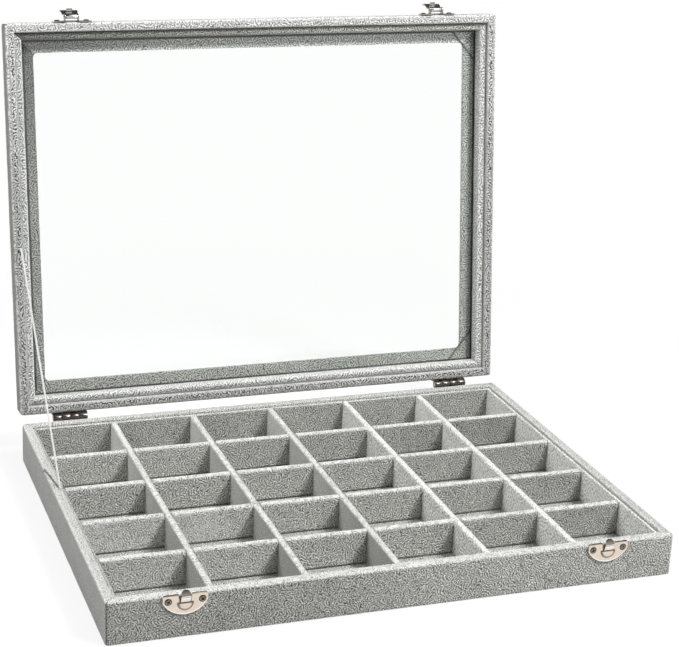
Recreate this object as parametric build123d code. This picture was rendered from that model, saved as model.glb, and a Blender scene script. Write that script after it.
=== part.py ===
from build123d import *
import math
import os

# Velvet display case with a glass lid, in millimetres and degrees.
# +X runs along the front, +Y to the back, +Z up. The origin is the middle of the underside.
# Every lid piece is drawn with the lid closed and then swung open about the hinge pins.

# Case
case_width = 350.0
case_depth = 264.0
tray_height = 27.0
lid_height = 16.0
parting_gap = 0.4
lid_open_angle = 97.7

# Boards with their velvet
wall_thickness = 6.5
case_corner_radius = 2.5
rim_edge_radius = 2.0
base_board_thickness = 2.0
floor_pad_thickness = 1.0
tray_liner_thickness = 2.0
tray_liner_drop = 2.0
liner_edge_radius = 0.9

# Compartments
columns = 6
rows = 5
divider_thickness = 5.0
divider_edge_radius = 2.0
divider_edge_flats = 3
lap_clearance = 0.1

# Lid
face_thickness = 2.5
face_width = 20.4
window_corner_radius = 3.0
glass_thickness = 2.0
glass_clearance = 0.3
lid_liner_thickness = 5.0
lid_liner_drop = 3.0
lid_liner_edge_radius = 1.8

# Hinges
hinge_from_side = 34.0
hinge_length = 24.0
hinge_knuckles = 4
hinge_offset = 3.0
hinge_knuckle_gap = 0.15
hinge_barrel_radius = 2.5
hinge_pin_radius = 1.0
hinge_leaf_thickness = 1.0
hinge_leaf_width = 11.0
hinge_leaf_corner_radius = 1.0
hinge_relief = 0.3
hinge_screw_spacing = 14.0
hinge_screw_drop = 7.0

# Latch and catch plates
latch_from_side = 45.0
plate_width = 26.0
plate_height = 12.4
plate_shoulder = 4.5
plate_thickness = 0.8
plate_corner_radius = 1.5
plate_screw_spacing = 19.6
plate_screw_drop = 4.0
notch_top_width = 8.2
notch_bottom_width = 6.4
notch_depth = 5.2
boss_radius = 4.3
boss_height = 0.5
tongue_width = 5.6
tongue_thickness = 0.7
tongue_reach = 2.8
tongue_kink_drop = 0.8
tongue_tip_rise = 2.9
tongue_tip_reach = 1.5

# Latch levers
latch_pin_radius = 0.6
latch_pin_proud = 0.3
latch_pin_reach = 3.5
latch_pin_rise = 4.5
latch_barrel_radius = 1.5
latch_barrel_length = 7.6
ear_gap = 0.3
ear_thickness = 0.8
ear_radius = 1.7
lever_thickness = 0.8
lever_length = 13.0
lever_straight_length = 7.0
lever_flare_reach = 3.0
lever_neck_length = 2.6
lever_shoulder_length = 1.8
lever_shoulder_width = 10.6
lever_tip_width = 12.8
lever_tip_radius = 2.6
lever_travel = 150.0
lip_width = 4.0
lip_thickness = 0.8
lip_drop = 7.5
lip_reach = 2.55
lip_slot_height = 1.5

# Screws
screw_shank_radius = 0.9
screw_head_radius = 1.8
screw_head_height = 0.7
screw_head_taper = 35.0
screw_head_sides = 12
screw_shank_sides = 8
screw_length = 5.5

# Fits of the pins
fixed_pin_clearance = 0.02
running_clearance = 0.05
screw_clearance = 0.05

# Stay cord
cord_diameter = 1.4
cord_sides = 8
cord_from_side = 4.8
cord_tray_place = 20.4
cord_lid_place = 16.0
cord_seat_depth = 7.0
cord_hole_depth = 8.0
cord_hole_clearance = 0.3
cord_rise = 1.6
cord_bend_radius = 2.0
slit_width = 0.6
slit_depth = 1.0
slit_run = 22.0

# Places that follow from the sizes above
half_width = case_width / 2
half_depth = case_depth / 2
lid_bottom = tray_height + parting_gap
lid_top = lid_bottom + lid_height
face_bottom = lid_top - face_thickness
glass_bottom = face_bottom - glass_thickness
floor_height = base_board_thickness + floor_pad_thickness
divider_top = tray_height - tray_liner_drop
divider_height = divider_top - floor_height
inner_margin = wall_thickness + tray_liner_thickness
inner_width = case_width - 2 * inner_margin
inner_depth = case_depth - 2 * inner_margin
cell_width = (inner_width - (columns - 1) * divider_thickness) / columns
cell_depth = (inner_depth - (rows - 1) * divider_thickness) / rows
hinge_y = half_depth + hinge_offset
hinge_z = tray_height + parting_gap / 2
hinge_axis = Axis((0, hinge_y, hinge_z), (1, 0, 0))
latch_pin_y = -half_depth - latch_pin_reach
latch_pin_z = lid_bottom + latch_pin_rise
hinge_x = half_width - hinge_from_side
latch_x = half_width - latch_from_side
latch_axis = Axis((0, latch_pin_y, latch_pin_z), (1, 0, 0))
ear_inside = latch_barrel_length / 2 + ear_gap
cord_x = -half_width + cord_from_side
sides = ("front", "back", "left", "right")

# Planes on the front face: across it, and square to it with local X pointing outwards
front_plane = Plane(origin=(0, -half_depth, 0), x_dir=(1, 0, 0), z_dir=(0, -1, 0))
side_plane = Plane(origin=(0, -half_depth, 0), x_dir=(0, -1, 0), z_dir=(-1, 0, 0))


def block(low, high):
    """A box between two corners."""
    size = [b - a for a, b in zip(low, high)]
    middle = [(a + b) / 2 for a, b in zip(low, high)]
    return Pos(*middle) * Box(*size)


def rod(radius, start, end):
    """A round bar along X between two values of x, on the line y = z = 0."""
    bar = Cylinder(radius, end - start, rotation=(0, 90, 0))
    return Pos((start + end) / 2, 0, 0) * bar


def swing_open(shape):
    """Turn a lid piece from its closed place to the open one."""
    return shape.rotate(hinge_axis, -lid_open_angle)


def mitre_wedge(side, low, high):
    """The quarter of the case that one side of a mitred frame keeps."""
    reach = min(half_width, half_depth) * 0.95
    corners = {
        "front": ((-1, -1), (1, -1)),
        "back": ((1, 1), (-1, 1)),
        "left": ((-1, 1), (-1, -1)),
        "right": ((1, -1), (1, 1)),
    }[side]
    outer = [(sx * half_width, sy * half_depth) for sx, sy in corners]
    inner = [(sx * (half_width - reach), sy * (half_depth - reach)) for sx, sy in corners]
    outline = Polyline(outer[0], outer[1], inner[1], inner[0], close=True)
    return Pos(0, 0, low) * extrude(make_face(outline), amount=high - low)


def mitred_frame(margin, thickness, low, high, outside=None, inside=None,
                 corner=0.0, inner_corner=0.0, upper=True):
    """Four boards round the case, margin in from its sides, with rounded long edges.

    outside and inside are the radii of the outer and inner edges on the rim's side, and
    upper tells which side the rim is on.
    """
    width = case_width - 2 * margin
    depth = case_depth - 2 * margin
    outline = RectangleRounded(width, depth, corner) if corner else Rectangle(width, depth)
    hole_width = width - 2 * thickness
    hole_depth = depth - 2 * thickness
    hole = Rectangle(hole_width, hole_depth)
    if inner_corner:
        hole = RectangleRounded(hole_width, hole_depth, inner_corner)
    ring = Pos(0, 0, low) * extrude(outline - hole, amount=high - low)
    rim = -1 if upper else 0
    if outside:
        ring = fillet(ring.faces().sort_by(Axis.Z)[rim].outer_wire().edges(), outside)
    if inside:
        ring = fillet(ring.faces().sort_by(Axis.Z)[rim].inner_wires()[0].edges(), inside)
    return {side: (ring & mitre_wedge(side, low, high)).solid() for side in sides}


def bored(board, centre, direction, radius, sides, depth):
    """A blind hole with flat sides, from a point on a face, into the board."""
    hole = extrude(RegularPolygon(radius, sides), amount=depth)
    return board - Plane(origin=centre, z_dir=direction) * hole


def screw_hole(board, centre, direction, depth):
    """A hole that fits a screw's shank."""
    return bored(board, centre, direction, screw_shank_radius + screw_clearance,
                 screw_shank_sides, depth)


def screw(centre, inwards, plate):
    """A screw through a plate that lies on a board's face at centre, with a tapered head."""
    shank = Pos(0, 0, -plate) * extrude(
        RegularPolygon(screw_shank_radius, screw_shank_sides), amount=plate + screw_length)
    head = Pos(0, 0, -plate) * extrude(
        RegularPolygon(screw_head_radius, screw_head_sides), amount=-screw_head_height,
        taper=screw_head_taper)
    return Plane(origin=centre, z_dir=inwards) * (shank + head)


# Tray boards and dividers

def tray_walls():
    """The four outer walls, with their rounded velvet edges."""
    return mitred_frame(0, wall_thickness, 0, tray_height, outside=rim_edge_radius,
                        inside=rim_edge_radius * 0.75, corner=case_corner_radius)


def tray_liners():
    """The four thin inner boards that stand on the floor pad."""
    return mitred_frame(wall_thickness, tray_liner_thickness, floor_height, divider_top,
                        inside=liner_edge_radius)


def column_place(index):
    """The middle of a front-to-back divider."""
    first = -inner_width / 2 + cell_width + divider_thickness / 2
    return first + index * (cell_width + divider_thickness)


def row_place(index):
    """The middle of a cross divider, counted from the front."""
    first = -inner_depth / 2 + cell_depth + divider_thickness / 2
    return first + index * (cell_depth + divider_thickness)


def divider_section():
    """A divider's cross-section, its two top edges rounded in a few flats each."""
    half = divider_thickness / 2
    radius = divider_edge_radius
    right = [(half, 0)]
    for step in range(divider_edge_flats + 1):
        angle = math.radians(90 * step / divider_edge_flats)
        right.append((half - radius + radius * math.cos(angle),
                      divider_height - radius + radius * math.sin(angle)))
    left = [(-x, z) for x, z in reversed(right)]
    return make_face(Polyline(*right, *left, close=True))


def column_divider(index):
    """A front-to-back divider, slotted from below where it straddles the cross dividers."""
    x = column_place(index)
    half = divider_thickness / 2
    far_end = Plane(origin=(x, inner_depth / 2, floor_height), x_dir=(1, 0, 0), z_dir=(0, -1, 0))
    board = extrude(far_end * divider_section(), amount=inner_depth)
    slot_half = half + lap_clearance
    slot_top = floor_height + divider_height / 2 + lap_clearance
    for row in range(rows - 1):
        y = row_place(row)
        board -= block((x - slot_half, y - slot_half, floor_height - 1),
                       (x + slot_half, y + slot_half, slot_top))
    return board


def row_divider(index):
    """A cross divider, slotted from above where the front-to-back dividers drop in."""
    y = row_place(index)
    half = divider_thickness / 2
    left_end = Plane(origin=(-inner_width / 2, y, floor_height), x_dir=(0, 1, 0), z_dir=(1, 0, 0))
    board = extrude(left_end * divider_section(), amount=inner_width)
    slot_half = half + lap_clearance
    slot_bottom = floor_height + divider_height / 2
    for column in range(columns - 1):
        x = column_place(column)
        board -= block((x - slot_half, y - slot_half, slot_bottom),
                       (x + slot_half, y + slot_half, divider_top + 1))
    return board


# Lid boards and glass

def lid_rails():
    """The four lid rails, their rounded rim facing down on the tray."""
    return mitred_frame(0, wall_thickness, lid_bottom, face_bottom, outside=rim_edge_radius,
                        inside=rim_edge_radius * 0.75, corner=case_corner_radius, upper=False)


def lid_face_strips():
    """The four flat strips round the window."""
    return mitred_frame(0, face_width, face_bottom, lid_top, outside=rim_edge_radius,
                        corner=case_corner_radius, inner_corner=window_corner_radius)


def lid_liners():
    """The four padded strips that hold the glass against the face."""
    return mitred_frame(wall_thickness, lid_liner_thickness, lid_bottom + lid_liner_drop,
                        glass_bottom, inside=lid_liner_edge_radius, upper=False)


def glass_pane():
    """The clear pane, a little smaller than the space between the rails."""
    margin = wall_thickness + glass_clearance
    return block((-half_width + margin, -half_depth + margin, glass_bottom),
                 (half_width - margin, half_depth - margin, face_bottom))


# Hinges, drawn about the line y = z = 0 with the case's back face at y = -hinge_offset

def hinge_leaf(up, bore_clearance):
    """A leaf with its share of the knuckles. up is 1 for the lid's leaf, -1 for the tray's."""
    half = hinge_length / 2
    pitch = hinge_length / hinge_knuckles
    plate_face = -hinge_offset + hinge_leaf_thickness
    low, high = sorted((0, up * hinge_leaf_width))
    plate = block((-half, -hinge_offset, low), (half, plate_face, high))
    far_corners = plate.edges().filter_by(Axis.Y).group_by(Axis.Z)[-1 if up > 0 else 0]
    plate = fillet(far_corners, hinge_leaf_corner_radius)
    reach = math.sqrt(max(hinge_barrel_radius ** 2 - plate_face ** 2, 0)) + hinge_relief
    own_first = 1 if up > 0 else 0
    leaf = plate
    for knuckle in range(hinge_knuckles):
        start = -half + knuckle * pitch
        if knuckle % 2 == own_first:
            leaf += rod(hinge_barrel_radius, start + hinge_knuckle_gap,
                        start + pitch - hinge_knuckle_gap)
        else:
            low, high = sorted((-up, up * reach))
            leaf -= block((start - hinge_knuckle_gap, -hinge_offset - 1, low),
                          (start + pitch + hinge_knuckle_gap, plate_face + 1, high))
    leaf -= rod(hinge_pin_radius + bore_clearance, -half - 1, half + 1)
    for side in (-1, 1):
        place = (side * hinge_screw_spacing / 2, -hinge_offset, up * hinge_screw_drop)
        leaf = screw_hole(leaf, place, (0, 1, 0), hinge_leaf_thickness)
    return leaf


def hinge_pin():
    """The plain pin, flush with the outer knuckles."""
    half = hinge_length / 2
    return rod(hinge_pin_radius, -half, half)


def at_hinge(shape, side):
    """Move a hinge piece to the left (-1) or right (1) hinge."""
    return Pos(side * hinge_x, hinge_y, hinge_z) * shape


def hinge_screw_places(side, up):
    """Where one leaf's two screws enter the back face."""
    x = side * hinge_x
    half = hinge_screw_spacing / 2
    return [(x - half, half_depth, hinge_z + up * hinge_screw_drop),
            (x + half, half_depth, hinge_z + up * hinge_screw_drop)]


# Latches

def plate_outline(edge, away):
    """Crescent plate: straight edge on the parting line, round side away from it."""
    half = plate_width / 2
    shoulder = edge + away * plate_shoulder
    crown = edge + away * plate_height
    outline = Polyline((-half, shoulder), (-half, edge), (half, edge), (half, shoulder))
    outline += ThreePointArc((half, shoulder), (0, crown), (-half, shoulder))
    face = make_face(outline.edges())
    corners = [v for v in face.vertices() if abs(v.Y - edge) < plate_shoulder / 2]
    return fillet(corners, plate_corner_radius)


def plate_screw_places(side, edge, away):
    """Where one plate's two screws enter the front face."""
    x = side * latch_x
    half = plate_screw_spacing / 2
    z = edge + away * plate_screw_drop
    return [(x - half, -half_depth, z), (x + half, -half_depth, z)]


def drill_plate(plate, side, edge, away):
    """The two screw holes of a plate that is already in its place."""
    for place in plate_screw_places(side, edge, away):
        plate = screw_hole(plate, place, (0, -1, 0), plate_thickness)
    return plate


def bent_tongue():
    """The tongue that leans out of the catch plate's notch and kinks back at its tip."""
    notch_bottom = tray_height - notch_depth
    kink = (tongue_reach, tray_height - tongue_kink_drop)
    tip = (tongue_tip_reach, tray_height + tongue_tip_rise)
    root = (plate_thickness / 2, notch_bottom - tongue_thickness / 2)
    line = Polyline(root, kink, tip)
    bent = extrude(side_plane * trace(line, tongue_thickness), amount=tongue_width / 2, both=True)
    dome_middle = tip[1] - tongue_width / 2
    straight = dome_middle - root[1] + tongue_thickness
    front = Pos(0, dome_middle - straight / 2) * Rectangle(tongue_width, straight)
    front += Pos(0, dome_middle) * Circle(tongue_width / 2)
    reach = tongue_reach + tongue_thickness
    return bent & extrude(front_plane * front, amount=reach)


def catch_plate(side):
    """The tray's crescent plate, with its notch, raised boss and bent tongue."""
    outline = plate_outline(tray_height, -1)
    notch_bottom = tray_height - notch_depth
    top = notch_top_width / 2
    bottom = notch_bottom_width / 2
    notch = Polyline((-top, tray_height + 1), (top, tray_height + 1), (bottom, notch_bottom),
                     (-bottom, notch_bottom), close=True)
    cut = make_face(notch)
    plate = extrude(front_plane * (outline - cut), amount=plate_thickness)
    disc = Pos(0, notch_bottom) * Circle(boss_radius) - Pos(0, notch_bottom + boss_radius) * \
        Rectangle(2 * boss_radius, 2 * boss_radius)
    boss = extrude(front_plane * disc, amount=plate_thickness + boss_height)
    plate = plate + boss + bent_tongue()
    plate = Pos(side * latch_x, 0, 0) * plate
    return drill_plate(plate, side, tray_height, -1)


def latch_plate(side):
    """The lid's crescent plate, with two ears folded out beside its notch."""
    outline = plate_outline(lid_bottom, 1)
    notch_top = lid_bottom + latch_pin_rise + ear_radius
    notch_middle = (lid_bottom - 1 + notch_top) / 2
    notch = Pos(0, notch_middle) * Rectangle(2 * ear_inside, notch_top - lid_bottom + 1)
    plate = extrude(front_plane * (outline - notch), amount=plate_thickness)
    root = plate_thickness / 2
    ear = Pos((root + latch_pin_reach) / 2, latch_pin_z) * Rectangle(
        latch_pin_reach - root, 2 * ear_radius)
    ear += Pos(latch_pin_reach, latch_pin_z) * Circle(ear_radius)
    ear -= Pos(latch_pin_reach, latch_pin_z) * Circle(latch_pin_radius + fixed_pin_clearance)
    for x in (ear_inside, -ear_inside - ear_thickness):
        wall = extrude(side_plane * ear, amount=-ear_thickness)
        plate += Pos(x, 0, 0) * wall
    plate = Pos(side * latch_x, 0, 0) * plate
    return drill_plate(plate, side, lid_bottom, 1)


def latch_pin(side):
    """The pin that the lever swings on, a little proud of both ears."""
    half = ear_inside + ear_thickness + latch_pin_proud
    pin = rod(latch_pin_radius, -half, half)
    return Pos(side * latch_x, latch_pin_y, latch_pin_z) * pin


def lever_outline():
    """The lever seen from the front, hanging closed: a neck that flares to a wide tip."""
    neck = latch_barrel_length / 2
    shoulder = lever_shoulder_width / 2
    tip = lever_tip_width / 2
    heights = (0, -lever_neck_length, -lever_neck_length - lever_shoulder_length, -lever_length)
    right = [(neck, heights[0]), (neck, heights[1]), (shoulder, heights[2]), (tip, heights[3])]
    left = [(-x, z) for x, z in reversed(right)]
    face = make_face(Polyline(*right, *left, close=True))
    corners = [v for v in face.vertices() if v.Y < -lever_length + lever_tip_radius]
    return Pos(0, latch_pin_z) * fillet(corners, lever_tip_radius)


def latch_lever(side):
    """Barrel, blade with a flared tip, and the lip that catches behind the tongue."""
    reach = latch_barrel_radius - lever_thickness / 2
    start = (latch_pin_reach + reach, latch_pin_z)
    bend = (start[0], latch_pin_z - lever_straight_length)
    tip = (start[0] + lever_flare_reach, latch_pin_z - lever_length)
    line = Line(start, bend)
    flare = TangentArc(bend, tip, tangent=(0, -1))
    profile = trace(line + flare, lever_thickness)
    blade = extrude(side_plane * profile, amount=lever_tip_width, both=True)
    outward = latch_pin_reach + lever_flare_reach + 2 * latch_barrel_radius
    blade = blade & extrude(front_plane * lever_outline(), amount=outward)
    slot_top = latch_pin_z - lip_drop + lip_slot_height
    lip_top = latch_pin_z - lip_drop
    blade_face = -half_depth - start[0]
    blade -= block((-lip_width / 2, blade_face - lever_thickness, lip_top),
                   (lip_width / 2, blade_face + lever_thickness, slot_top))
    lip = block((-lip_width / 2, blade_face, lip_top - lip_thickness),
                (lip_width / 2, -half_depth - lip_reach, lip_top))
    half = latch_barrel_length / 2
    barrel = Pos(0, latch_pin_y, latch_pin_z) * rod(latch_barrel_radius, -half, half)
    bore = Pos(0, latch_pin_y, latch_pin_z) * rod(
        latch_pin_radius + running_clearance, -half - 1, half + 1)
    lever = blade + lip + barrel - bore
    lever = lever.rotate(latch_axis, -lever_travel)
    return Pos(side * latch_x, 0, 0) * lever


# Stay cord

def open_point(y, z):
    """Where a point of the closed lid lies once the lid is open."""
    turn = math.radians(-lid_open_angle)
    dy = y - hinge_y
    dz = z - hinge_z
    return (hinge_y + dy * math.cos(turn) - dz * math.sin(turn),
            hinge_z + dy * math.sin(turn) + dz * math.cos(turn))


def cord_route():
    """Up out of the tray's rim, taut to the lid's rim, and into it."""
    lid_exit = open_point(cord_lid_place, lid_bottom - cord_rise)
    lid_seat = open_point(cord_lid_place, lid_bottom + cord_seat_depth)
    return [
        (cord_x, cord_tray_place, tray_height - cord_seat_depth),
        (cord_x, cord_tray_place, tray_height + cord_rise),
        (cord_x, *lid_exit),
        (cord_x, *lid_seat),
    ]


def stay_cord():
    """The white cord that stops the lid just past upright."""
    path = FilletPolyline(*cord_route(), radius=cord_bend_radius)
    start = path.edges()[0]
    outline = RegularPolygon(cord_diameter / 2, cord_sides)
    cord = sweep(Plane(origin=start @ 0, z_dir=start % 0) * outline, path=path)
    area = outline.area
    print(f"stay cord: length {path.length:.1f}, bends {cord_bend_radius}, "
          f"volume ratio {cord.volume / (area * path.length):.3f}")
    return cord


def cord_slit(board):
    """The slit in the rim's velvet that runs back and out from the cord's hole."""
    end = (-half_width + rim_edge_radius / 2, cord_tray_place + slit_run)
    run = math.hypot(end[0] - cord_x, end[1] - cord_tray_place)
    middle = ((cord_x + end[0]) / 2, (cord_tray_place + end[1]) / 2, tray_height)
    angle = math.degrees(math.atan2(end[1] - cord_tray_place, end[0] - cord_x))
    return board - Pos(*middle) * Rot(0, 0, angle) * Box(run, slit_width, 2 * slit_depth)


# Assembly
nodes = {}

margin = wall_thickness
nodes["tray_base_board"] = block((-half_width + margin, -half_depth + margin, 0),
                                 (half_width - margin, half_depth - margin, base_board_thickness))
nodes["tray_floor_pad"] = block(
    (-half_width + margin, -half_depth + margin, base_board_thickness),
    (half_width - margin, half_depth - margin, floor_height))

walls = tray_walls()
rails = lid_rails()
cord_hole_radius = cord_diameter / 2 + cord_hole_clearance
pilot_depth = screw_length + screw_clearance
walls["left"] = cord_slit(walls["left"])
walls["left"] = bored(walls["left"], (cord_x, cord_tray_place, tray_height), (0, 0, -1),
                      cord_hole_radius, cord_sides, cord_hole_depth)
rails["left"] = bored(rails["left"], (cord_x, cord_lid_place, lid_bottom), (0, 0, 1),
                      cord_hole_radius, cord_sides, cord_hole_depth)
for side in (-1, 1):
    for place in plate_screw_places(side, tray_height, -1):
        walls["front"] = screw_hole(walls["front"], place, (0, 1, 0), pilot_depth)
    for place in plate_screw_places(side, lid_bottom, 1):
        rails["front"] = screw_hole(rails["front"], place, (0, 1, 0), pilot_depth)
    for place in hinge_screw_places(side, -1):
        walls["back"] = screw_hole(walls["back"], place, (0, -1, 0), pilot_depth)
    for place in hinge_screw_places(side, 1):
        rails["back"] = screw_hole(rails["back"], place, (0, -1, 0), pilot_depth)

tray_liner_boards = tray_liners()
face_strips = lid_face_strips()
lid_liner_boards = lid_liners()
for side in sides:
    nodes[f"tray_{side}_wall"] = walls[side]
    nodes[f"tray_{side}_liner"] = tray_liner_boards[side]
    nodes[f"lid_{side}_rail"] = swing_open(rails[side])
    nodes[f"lid_{side}_face"] = swing_open(face_strips[side])
    nodes[f"lid_{side}_liner"] = swing_open(lid_liner_boards[side])

for index in range(columns - 1):
    nodes[f"column_divider_{index + 1}"] = column_divider(index)
for index in range(rows - 1):
    nodes[f"row_divider_{index + 1}"] = row_divider(index)

nodes["glass_pane"] = swing_open(glass_pane())
nodes["stay_cord"] = stay_cord()

screws = {"catch_screws": [], "latch_screws": [], "hinge_tray_screws": [], "hinge_lid_screws": []}
for side, name in ((-1, "left"), (1, "right")):
    nodes[f"{name}_catch_plate"] = catch_plate(side)
    nodes[f"{name}_latch_plate"] = swing_open(latch_plate(side))
    nodes[f"{name}_latch_pin"] = swing_open(latch_pin(side))
    nodes[f"{name}_latch_lever"] = swing_open(latch_lever(side))
    nodes[f"{name}_hinge_tray_leaf"] = at_hinge(hinge_leaf(-1, fixed_pin_clearance), side)
    nodes[f"{name}_hinge_lid_leaf"] = swing_open(
        at_hinge(hinge_leaf(1, running_clearance), side))
    nodes[f"{name}_hinge_pin"] = at_hinge(hinge_pin(), side)
    for place in plate_screw_places(side, tray_height, -1):
        screws["catch_screws"].append(screw(place, (0, 1, 0), plate_thickness))
    for place in plate_screw_places(side, lid_bottom, 1):
        screws["latch_screws"].append(swing_open(screw(place, (0, 1, 0), plate_thickness)))
    for place in hinge_screw_places(side, -1):
        screws["hinge_tray_screws"].append(screw(place, (0, -1, 0), hinge_leaf_thickness))
    for place in hinge_screw_places(side, 1):
        screws["hinge_lid_screws"].append(
            swing_open(screw(place, (0, -1, 0), hinge_leaf_thickness)))
for name, group in screws.items():
    nodes[name] = Compound(children=[piece.solid() for piece in group])

os.makedirs("parts", exist_ok=True)
for name, shape in nodes.items():
    export_step(shape, f"parts/{name}.step")
print(f"{len(nodes)} nodes")
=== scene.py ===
import bmesh
import bpy
import math
from mathutils import Matrix, Vector, noise


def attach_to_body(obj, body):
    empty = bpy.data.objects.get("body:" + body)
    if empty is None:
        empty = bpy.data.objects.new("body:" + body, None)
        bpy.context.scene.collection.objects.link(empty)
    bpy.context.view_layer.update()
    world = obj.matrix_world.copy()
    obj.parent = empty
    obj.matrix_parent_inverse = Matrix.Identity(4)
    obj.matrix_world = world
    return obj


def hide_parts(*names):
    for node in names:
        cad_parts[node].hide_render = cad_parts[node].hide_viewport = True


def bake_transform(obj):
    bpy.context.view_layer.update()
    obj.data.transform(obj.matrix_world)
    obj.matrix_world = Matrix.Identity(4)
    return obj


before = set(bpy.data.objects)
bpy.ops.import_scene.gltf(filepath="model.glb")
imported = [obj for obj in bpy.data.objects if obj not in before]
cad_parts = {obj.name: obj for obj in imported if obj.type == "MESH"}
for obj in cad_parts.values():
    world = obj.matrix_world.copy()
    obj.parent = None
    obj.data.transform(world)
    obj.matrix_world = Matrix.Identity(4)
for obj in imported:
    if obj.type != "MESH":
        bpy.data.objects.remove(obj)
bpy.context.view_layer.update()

# Lengths below are in millimetres in the part's frame, and become metres when a mesh is made.
MM = 0.001

# Points nearer than this in metres are one point, and edges steeper than this many degrees
# are rounded
WELD_DISTANCE = 2e-6
SHARP_ANGLE = 35

# Camera
PHOTO_WIDTH = 679.0
FOCAL_PIXELS = 1737.462
AXIS_PIXEL_X = 280.0
SENSOR_WIDTH = 36.0
CAMERA_PLACE = (-355.303, -959.061, 479.631)
CAMERA_AZIMUTH = -18.395
CAMERA_ELEVATION = 18.951
CAMERA_ROLL = 1.903

# Case
CASE_WIDTH = 350.0
CASE_DEPTH = 264.0
TRAY_HEIGHT = 27.0
LID_HEIGHT = 16.0
PARTING_GAP = 0.4
LID_OPEN_ANGLE = 97.7
HINGE_Y = CASE_DEPTH / 2 + 3.0
HINGE_Z = TRAY_HEIGHT + PARTING_GAP / 2
LID_BOTTOM = TRAY_HEIGHT + PARTING_GAP
LID_TOP = LID_BOTTOM + LID_HEIGHT

# Boards
WALL = 6.5
CORNER = 2.5
RIM_RADIUS = 2.0
RIM_INNER_RADIUS = 1.5
FOOT_RADIUS = 0.5
TRAY_LINER = 2.0
LINER_RADIUS = 0.9
LINER_BACK_RADIUS = 0.3
FLOOR_BOTTOM = 2.0
FLOOR_TOP = 3.0
DIVIDER_TOP = 25.0
DIVIDER = 5.0
DIVIDER_RADIUS = 2.2
SLOT_PLAY = 0.1
COLUMNS = 6
ROWS = 5
FACE = 2.5
FACE_WIDTH = 20.4
FACE_RADIUS = 0.5
FACE_INNER_RADIUS = 0.4
WINDOW_CORNER = 3.0
LID_LINER = 5.0
LID_LINER_DROP = 3.0
LID_LINER_RADIUS = 1.8
LID_LINER_BACK_RADIUS = 0.4
GLASS_BOTTOM = LID_TOP - FACE - 2.0

# Latch and catch plates and their screws
LATCH_X = CASE_WIDTH / 2 - 45.0
PLATE_THICKNESS = 0.8
PLATE_SCREW_DROP = 4.0
PLATE_SCREW_OFFSET = 9.8
SCREW_RADIUS = 1.8
SCREW_HEIGHT = 0.7
SCREW_RING = 2.15
RECESS_DEPTH = 0.55
RECESS_REACH = 1.3
RECESS_WIDTH = 0.6
SCREW_DOME = 0.5
SCREW_GAP = 0.02
SCREW_SEAM = 0.95
RING_HEIGHT = 0.03
SCREW_CIRCLES = 12
SCREW_SIDES = 40
SCREW_SPIN = (0.5, 1.9)
BOSS_RADIUS = 4.3
BOSS_HEIGHT = 21.8
BOSS_REACH = 0.7
# Painted shade round the boss below the tongue, and the band along a catch plate's edges: its
# inset widths, its painted highlight where it looks down and its painted shade where it looks
# up, and how flat a face of the plate is
BOSS_SHADE = (0.6, 0.4, 0.7)
RIM_BAND = (0.5, 0.25)
RIM_BRIGHT = (1.0, 0.1, 0.4)
RIM_DARK = (0.9, 0.15, 0.5)
PLATE_FACE = 0.98

# How widely the edges of plates and levers, of hinge screws and of catch plates are rounded
METAL_ROUNDING = 0.3
SCREW_ROUNDING = 0.08
CATCH_ROUNDING = 0.35

# Grid of the velvet meshes, and the size and depth of their nap and waves
LENGTH_STEP = 1.6
SECTION_STEP = 1.5
FLOOR_STEP = 2.4
FLOOR_FOOT_STEP = 20.0
RIM_STEP = 0.8
TOP_STEP = 0.5
EDGE_STEP = 0.7
PAD_STEP = 1.0
PAD_EDGE_STEP = 0.6
SLIT_STEP = 0.3
HIDDEN_STEP = 6.0
ARC_STEP = 0.5
CORNER_TURNS = (45.0, 38.0, 28.0, 14.0)
SLOT_MARGIN = 0.3
SLOT_SIDE = 1e-3
FOOT_LINE = 0.1
NAP_SIZE = 2.4
NAP_DEPTH = 0.14
WAVE_SIZE = 11.0
WAVE_DEPTH = 0.22

# Light: the world's strength, how bright metal sees the ceiling, and each lamp's name, power,
# size, place and aim
FILL_STRENGTH = 0.16
CEILING = 0.06
LAMPS = (
    ("key", 23.0, 360.0, (720.0, -840.0, 1440.0), (0.0, 0.0, 20.0)),
    ("top", 14.5, 1600.0, (720.0, -400.0, 1760.0), (0.0, 0.0, 0.0)),
    ("left", 6.0, 400.0, (-960.0, 90.0, 520.0), (0.0, 0.0, 50.0)),
)

# Cord
CORD_DIAMETER = 1.4
CORD_X = -170.2
CORD_ROUTE = [
    (CORD_X, 20.4, 20.0),
    (CORD_X, 20.4, 28.6),
    (CORD_X, 26.8, 34.4),
    (CORD_X, 143.1, 139.5),
    (CORD_X, 149.56, 145.31),
    (CORD_X, 158.08, 144.16),
]
CORD_STRANDS = 3
STRAND_SHARE = 0.5
STRAND_SIDES = 6
CORD_LAY = 4.6
CORD_STEP = 0.6

# A shade with three values is how deep it is at most, and from where to where it changes. A
# normal of the velvet counts as a flat face's from ON_FACE on, turns towards a face between the
# two values of FACING, and looks down or to the left from the last two on.
ON_FACE = 0.9
FACING = (0.2, 0.8)
LOOKS_DOWN = -0.5
LOOKS_LEFT = -0.7

# The cut in the left rim behind the cord's hole: its end, the shares of its length that it
# covers, the stretch of wall with finer steps, its half width and its depth, the lip beside
# it, with its distance, half width and height, and the painted shade in the cut
SLIT_END = (-174.4, 53.0)
SLIT_SPAN = (-0.05, 1.02)
SLIT_STRETCH = (17.0, 57.0, 0.45)
SLIT_HALF_WIDTH = 0.55
SLIT_DEPTH = 1.1
SLIT_LIP = (1.2, 1.0, 0.4)
SLIT_SHADE = (0.95, 0.35, 0.95)

SIDES = ("front", "back", "left", "right")
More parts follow.
